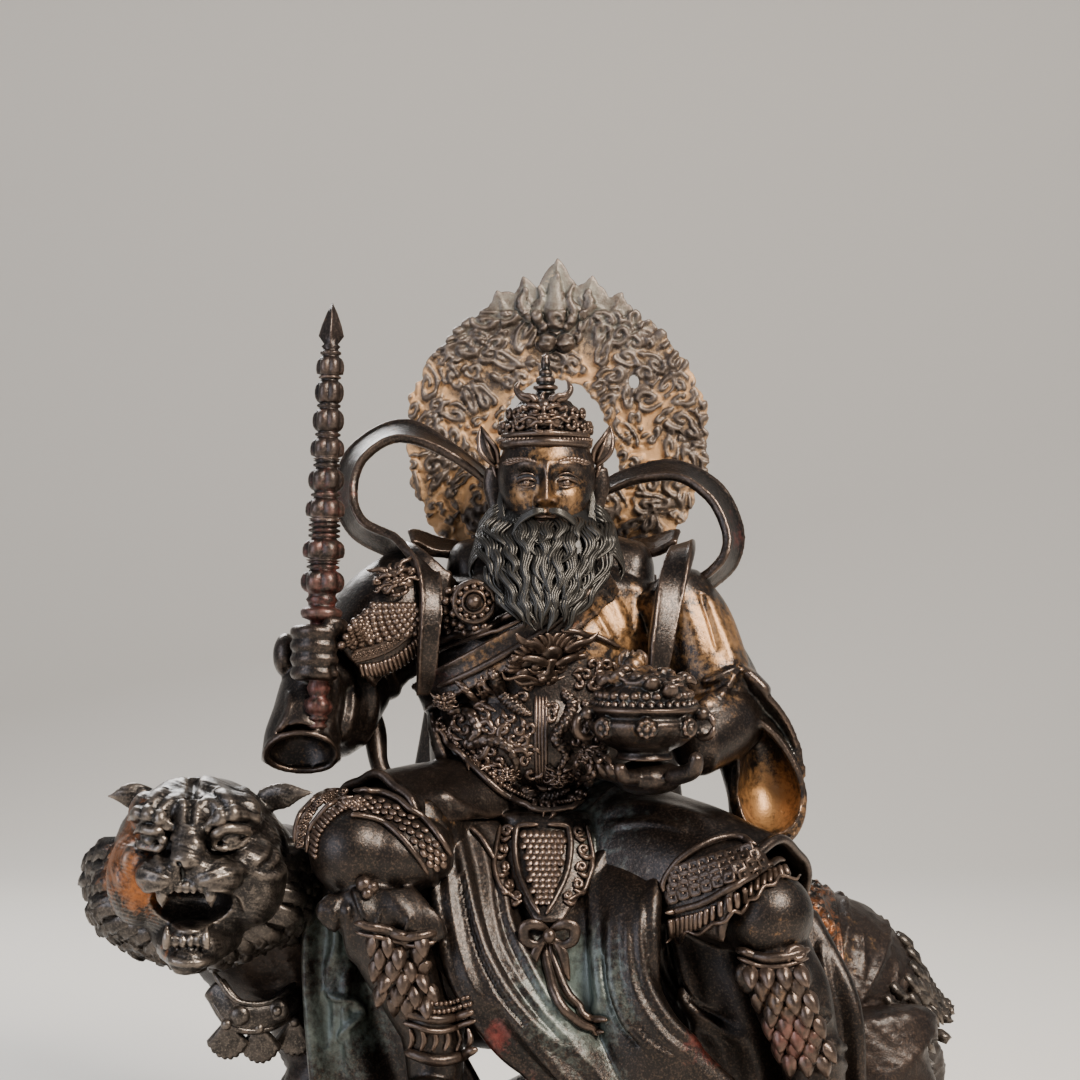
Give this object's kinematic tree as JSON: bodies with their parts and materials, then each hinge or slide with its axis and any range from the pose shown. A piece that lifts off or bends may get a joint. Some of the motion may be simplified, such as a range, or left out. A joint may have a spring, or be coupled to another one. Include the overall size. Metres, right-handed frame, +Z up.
{
  "type": "god of wealth statue",
  "caption": "Cast brass altar figure of a bearded, armoured god of wealth who sits on a tiger with a ringed rod and a treasure bowl, on a rockwork plinth.",
  "frame": {"origin": "centre of the plinth's flat underside", "axes": "+Z up, -Y towards the viewer whom the god faces, +X to that viewer's right, along the tiger towards its rump"},
  "size_m": [0.2054, 0.1236, 0.239],
  "materials": {
    "black_brass": "cast brass under a near-black patina, rubbed to bare metal on its high spots",
    "dark_brass": "cast brass with a dark brown patina, worn gilding and cold green-grey paint in its hollows",
    "gilt_brass": "sandy fire gilding dulled by dust, with grey-brown relief",
    "lacquered_brass": "cast brass with rubbed dark red lacquer"
  },
  "bodies": {
    "root": {"plinth": "black_brass", "tiger": "black_brass", "god": "dark_brass", "mandorla": "gilt_brass", "treasure_bowl": "dark_brass", "whip": "lacquered_brass"}
  },
  "joints": []
}
